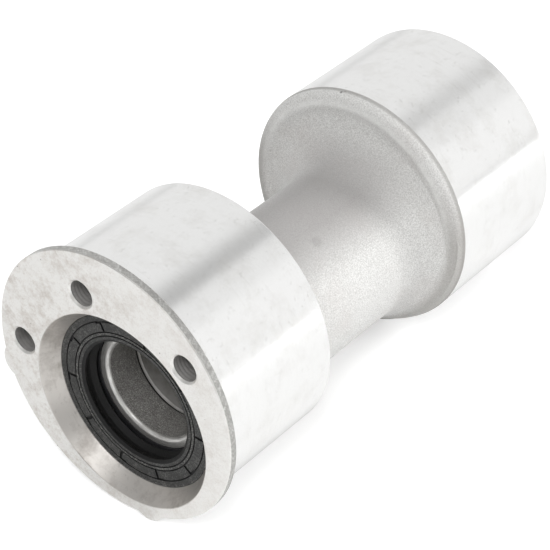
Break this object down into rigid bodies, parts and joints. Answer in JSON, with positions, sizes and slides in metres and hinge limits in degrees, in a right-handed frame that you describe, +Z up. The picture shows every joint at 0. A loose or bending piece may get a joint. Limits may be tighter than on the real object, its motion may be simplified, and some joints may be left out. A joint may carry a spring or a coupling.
{
  "type": "wheel hub",
  "caption": "Eccentric rear axle hub: an aluminium carrier with two clamped drums and an off-centre bore that holds ball bearings, a spacer tube and lip seals.",
  "frame": {"origin": "on the axis of the two journals, in the plane of the flange's shoulder", "axes": "+Y along the journals to the far end, +Z up as the part lies in the picture, +X to the right when looking along +Y; the bore's axis is parallel to Y, 9 mm away at -71 degrees from +X towards +Z"},
  "size_m": [0.0956, 0.1748, 0.0956],
  "materials": {
    "cast_aluminium": "sand cast, machined on the drums and faces",
    "seal_rubber": "matt moulded nitrile",
    "seal_case_steel": "pressed",
    "spring_steel": "drawn wire",
    "bearing_steel": "ground",
    "ball_steel": "polished",
    "cage_steel": "pressed sheet",
    "shield_rubber": "moulded on a steel disc",
    "spacer_steel": "drawn tube, oiled"
  },
  "bodies": {
    "housing": {"carrier": "cast_aluminium", "near_seal_rubber": "seal_rubber", "near_seal_case": "seal_case_steel", "near_garter_spring": "spring_steel", "near_outer_ring": "bearing_steel", "near_outer_shield": "shield_rubber", "near_inner_shield": "shield_rubber", "far_seal_rubber": "seal_rubber", "far_seal_case": "seal_case_steel", "far_garter_spring": "spring_steel", "far_outer_ring": "bearing_steel", "far_outer_shield": "shield_rubber", "far_inner_shield": "shield_rubber"},
    "axle_sleeve": {"near_inner_ring": "bearing_steel", "spacer_tube": "spacer_steel", "far_inner_ring": "bearing_steel"},
    "near_ball_set": {"near_balls": "ball_steel", "near_cage_front": "cage_steel", "near_cage_back": "cage_steel", "near_cage_rivets": "cage_steel"},
    "far_ball_set": {"far_balls": "ball_steel", "far_cage_front": "cage_steel", "far_cage_back": "cage_steel", "far_cage_rivets": "cage_steel"}
  },
  "joints": [
    {"name": "axle_spin", "type": "hinge", "parent": "housing", "child": "axle_sleeve", "pos_m": [0.00293, 0, -0.00851], "axis": [0, 1, 0], "continuous": true},
    {"name": "near_ball_orbit", "type": "hinge", "parent": "housing", "child": "near_ball_set", "pos_m": [0.00293, 0.0177, -0.00851], "axis": [0, 1, 0], "continuous": true},
    {"name": "far_ball_orbit", "type": "hinge", "parent": "housing", "child": "far_ball_set", "pos_m": [0.00293, 0.1547, -0.00851], "axis": [0, 1, 0], "continuous": true}
  ],
  "couplings": [
    {"joint": "near_ball_orbit", "follows": "axle_spin", "ratio": 0.41814},
    {"joint": "far_ball_orbit", "follows": "axle_spin", "ratio": 0.41814}
  ]
}
